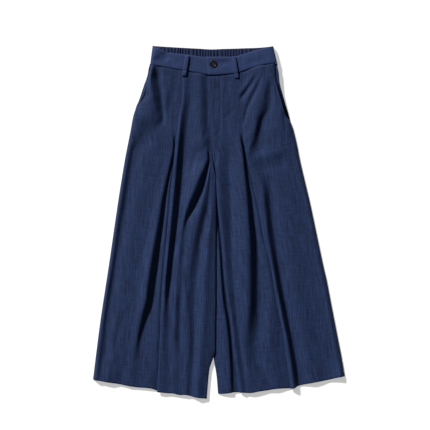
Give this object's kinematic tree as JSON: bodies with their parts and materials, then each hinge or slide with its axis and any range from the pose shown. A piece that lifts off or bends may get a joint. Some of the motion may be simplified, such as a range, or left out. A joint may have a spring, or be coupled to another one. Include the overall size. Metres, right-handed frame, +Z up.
{
  "type": "wide-leg trousers",
  "caption": "Cropped wide-leg trousers laid flat, front up, with inverted pleats, an elastic back waist, a buttoned front band and slanted pockets.",
  "frame": {"origin": "on the surface the garment lies on, below the middle of its outline", "axes": "+Y towards the waist, +X to the right as seen from above (the wearer's left), +Z up, out of the front of the garment"},
  "size_m": [0.694, 0.9712, 0.0228],
  "materials": {
    "suiting": "navy twill suiting, matt with a soft sheen",
    "suiting_band": "navy twill suiting, interlined, pressed flat",
    "suiting_elastic": "navy twill suiting gathered on elastic",
    "button": "dark horn-like resin, semi-matt"
  },
  "bodies": {
    "root": {"front_panel_left": "suiting", "front_panel_right": "suiting", "back_panel_left": "suiting", "back_panel_right": "suiting", "front_waistband_left": "suiting_band", "front_waistband_right": "suiting_band", "back_waistband": "suiting_elastic", "pocket_facing_left": "suiting", "pocket_facing_right": "suiting", "belt_loop_left": "suiting_band", "belt_loop_right": "suiting_band", "waist_button": "button"}
  },
  "joints": []
}
